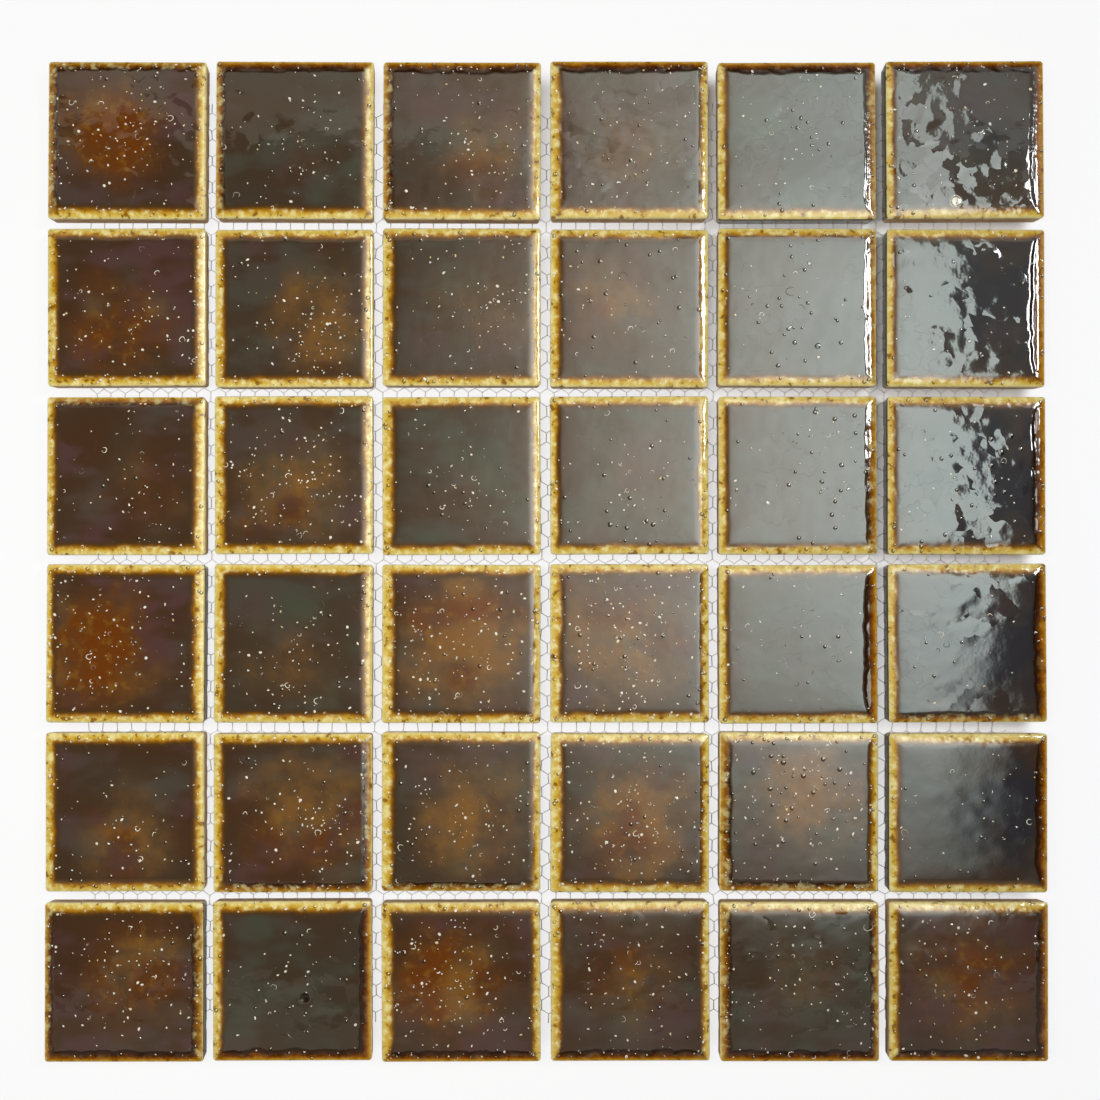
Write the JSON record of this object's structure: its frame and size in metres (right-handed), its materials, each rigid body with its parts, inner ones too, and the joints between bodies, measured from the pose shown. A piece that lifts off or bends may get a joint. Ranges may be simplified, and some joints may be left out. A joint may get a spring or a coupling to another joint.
{
  "type": "mosaic tile sheet",
  "caption": "Flat square sheet of dark brown reactive-glazed mosaic tiles with pillowed amber rims, laid in even rows on an open hexagonal backing net.",
  "frame": {"origin": "middle of the sheet on the underside of the backing net", "axes": "+Z out of the glazed faces; +X along a row of tiles; +Y up a column, towards row 1"},
  "size_m": [0.3032, 0.3036, 0.0064],
  "materials": {
    "glazed_tile": "gloss",
    "net": "matte"
  },
  "bodies": {
    "root": {"backing_net": "net", "tile_row_1_column_1": "glazed_tile", "tile_row_1_column_2": "glazed_tile", "tile_row_1_column_3": "glazed_tile", "tile_row_1_column_4": "glazed_tile", "tile_row_1_column_5": "glazed_tile", "tile_row_1_column_6": "glazed_tile", "tile_row_2_column_1": "glazed_tile", "tile_row_2_column_2": "glazed_tile", "tile_row_2_column_3": "glazed_tile", "tile_row_2_column_4": "glazed_tile", "tile_row_2_column_5": "glazed_tile", "tile_row_2_column_6": "glazed_tile", "tile_row_3_column_1": "glazed_tile", "tile_row_3_column_2": "glazed_tile", "tile_row_3_column_3": "glazed_tile", "tile_row_3_column_4": "glazed_tile", "tile_row_3_column_5": "glazed_tile", "tile_row_3_column_6": "glazed_tile", "tile_row_4_column_1": "glazed_tile", "tile_row_4_column_2": "glazed_tile", "tile_row_4_column_3": "glazed_tile", "tile_row_4_column_4": "glazed_tile", "tile_row_4_column_5": "glazed_tile", "tile_row_4_column_6": "glazed_tile", "tile_row_5_column_1": "glazed_tile", "tile_row_5_column_2": "glazed_tile", "tile_row_5_column_3": "glazed_tile", "tile_row_5_column_4": "glazed_tile", "tile_row_5_column_5": "glazed_tile", "tile_row_5_column_6": "glazed_tile", "tile_row_6_column_1": "glazed_tile", "tile_row_6_column_2": "glazed_tile", "tile_row_6_column_3": "glazed_tile", "tile_row_6_column_4": "glazed_tile", "tile_row_6_column_5": "glazed_tile", "tile_row_6_column_6": "glazed_tile"}
  },
  "joints": []
}
